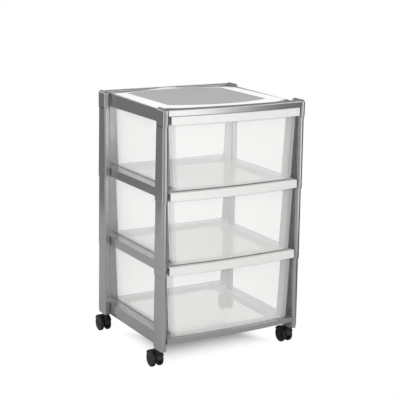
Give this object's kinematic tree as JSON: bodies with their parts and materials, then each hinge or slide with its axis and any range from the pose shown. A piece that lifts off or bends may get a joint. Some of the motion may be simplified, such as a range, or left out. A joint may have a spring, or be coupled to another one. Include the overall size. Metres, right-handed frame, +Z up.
{
  "type": "drawer tower on casters",
  "caption": "Plastic drawer tower: stacked ring frames and hollow posts carry deep translucent drawers with swelling fronts, under a tray top, on twin-wheel swivel casters.",
  "frame": {"origin": "on the floor, midway between the sides and midway between the fronts' swell and the posts' back", "axes": "+Z up; the drawers open towards -Y; +X is to the right of someone facing them"},
  "size_m": [0.4164, 0.3754, 0.647],
  "materials": {
    "silver_plastic": "satin silver",
    "panel_plastic": "fine matt grain",
    "clear_plastic": "milky and translucent",
    "black_plastic": "semi-gloss",
    "steel": "bright zinc"
  },
  "bodies": {
    "frame": {"top_frame": "silver_plastic", "shelf_frame_upper": "silver_plastic", "shelf_frame_lower": "silver_plastic", "base_frame": "silver_plastic", "top_panel": "panel_plastic", "post_front_left_top": "silver_plastic", "post_front_right_top": "silver_plastic", "post_rear_left_top": "silver_plastic", "post_rear_right_top": "silver_plastic", "post_front_left_middle": "silver_plastic", "post_front_right_middle": "silver_plastic", "post_rear_left_middle": "silver_plastic", "post_rear_right_middle": "silver_plastic", "post_front_left_bottom": "silver_plastic", "post_front_right_bottom": "silver_plastic", "post_rear_left_bottom": "silver_plastic", "post_rear_right_bottom": "silver_plastic", "stem_front_left": "steel", "stem_front_right": "steel", "stem_rear_left": "steel", "stem_rear_right": "steel", "grip_rings": "steel"},
    "top_drawer": {"drawer_top": "clear_plastic"},
    "middle_drawer": {"drawer_middle": "clear_plastic"},
    "bottom_drawer": {"drawer_bottom": "clear_plastic"},
    "caster_front_left": {"hood_front_left": "black_plastic", "axle_front_left": "steel"},
    "outer_wheel_front_left": {"wheel_outer_front_left": "black_plastic"},
    "inner_wheel_front_left": {"wheel_inner_front_left": "black_plastic"},
    "caster_front_right": {"hood_front_right": "black_plastic", "axle_front_right": "steel"},
    "outer_wheel_front_right": {"wheel_outer_front_right": "black_plastic"},
    "inner_wheel_front_right": {"wheel_inner_front_right": "black_plastic"},
    "caster_rear_left": {"hood_rear_left": "black_plastic", "axle_rear_left": "steel"},
    "outer_wheel_rear_left": {"wheel_outer_rear_left": "black_plastic"},
    "inner_wheel_rear_left": {"wheel_inner_rear_left": "black_plastic"},
    "caster_rear_right": {"hood_rear_right": "black_plastic", "axle_rear_right": "steel"},
    "outer_wheel_rear_right": {"wheel_outer_rear_right": "black_plastic"},
    "inner_wheel_rear_right": {"wheel_inner_rear_right": "black_plastic"}
  },
  "joints": [
    {"name": "top_drawer_slide", "type": "slide", "parent": "frame", "child": "top_drawer", "axis": [0, -1, 0], "range_m": [0, 0.265]},
    {"name": "middle_drawer_slide", "type": "slide", "parent": "frame", "child": "middle_drawer", "axis": [0, -1, 0], "range_m": [0, 0.265]},
    {"name": "bottom_drawer_slide", "type": "slide", "parent": "frame", "child": "bottom_drawer", "axis": [0, -1, 0], "range_m": [0, 0.265]},
    {"name": "swivel_front_left", "type": "hinge", "parent": "frame", "child": "caster_front_left", "pos_m": [-0.1925, -0.142, 0.05], "axis": [0, 0, 1], "continuous": true},
    {"name": "outer_wheel_spin_front_left", "type": "hinge", "parent": "caster_front_left", "child": "outer_wheel_front_left", "pos_m": [-0.1925, -0.127, 0.02], "axis": [1, 0, 0], "continuous": true},
    {"name": "inner_wheel_spin_front_left", "type": "hinge", "parent": "caster_front_left", "child": "inner_wheel_front_left", "pos_m": [-0.1925, -0.127, 0.02], "axis": [1, 0, 0], "continuous": true},
    {"name": "swivel_front_right", "type": "hinge", "parent": "frame", "child": "caster_front_right", "pos_m": [0.1925, -0.142, 0.05], "axis": [0, 0, 1], "continuous": true},
    {"name": "outer_wheel_spin_front_right", "type": "hinge", "parent": "caster_front_right", "child": "outer_wheel_front_right", "pos_m": [0.1925, -0.127, 0.02], "axis": [1, 0, 0], "continuous": true},
    {"name": "inner_wheel_spin_front_right", "type": "hinge", "parent": "caster_front_right", "child": "inner_wheel_front_right", "pos_m": [0.1925, -0.127, 0.02], "axis": [1, 0, 0], "continuous": true},
    {"name": "swivel_rear_left", "type": "hinge", "parent": "frame", "child": "caster_rear_left", "pos_m": [-0.1925, 0.152, 0.05], "axis": [0, 0, 1], "continuous": true},
    {"name": "outer_wheel_spin_rear_left", "type": "hinge", "parent": "caster_rear_left", "child": "outer_wheel_rear_left", "pos_m": [-0.1925, 0.167, 0.02], "axis": [1, 0, 0], "continuous": true},
    {"name": "inner_wheel_spin_rear_left", "type": "hinge", "parent": "caster_rear_left", "child": "inner_wheel_rear_left", "pos_m": [-0.1925, 0.167, 0.02], "axis": [1, 0, 0], "continuous": true},
    {"name": "swivel_rear_right", "type": "hinge", "parent": "frame", "child": "caster_rear_right", "pos_m": [0.1925, 0.152, 0.05], "axis": [0, 0, 1], "continuous": true},
    {"name": "outer_wheel_spin_rear_right", "type": "hinge", "parent": "caster_rear_right", "child": "outer_wheel_rear_right", "pos_m": [0.1925, 0.167, 0.02], "axis": [1, 0, 0], "continuous": true},
    {"name": "inner_wheel_spin_rear_right", "type": "hinge", "parent": "caster_rear_right", "child": "inner_wheel_rear_right", "pos_m": [0.1925, 0.167, 0.02], "axis": [1, 0, 0], "continuous": true}
  ]
}
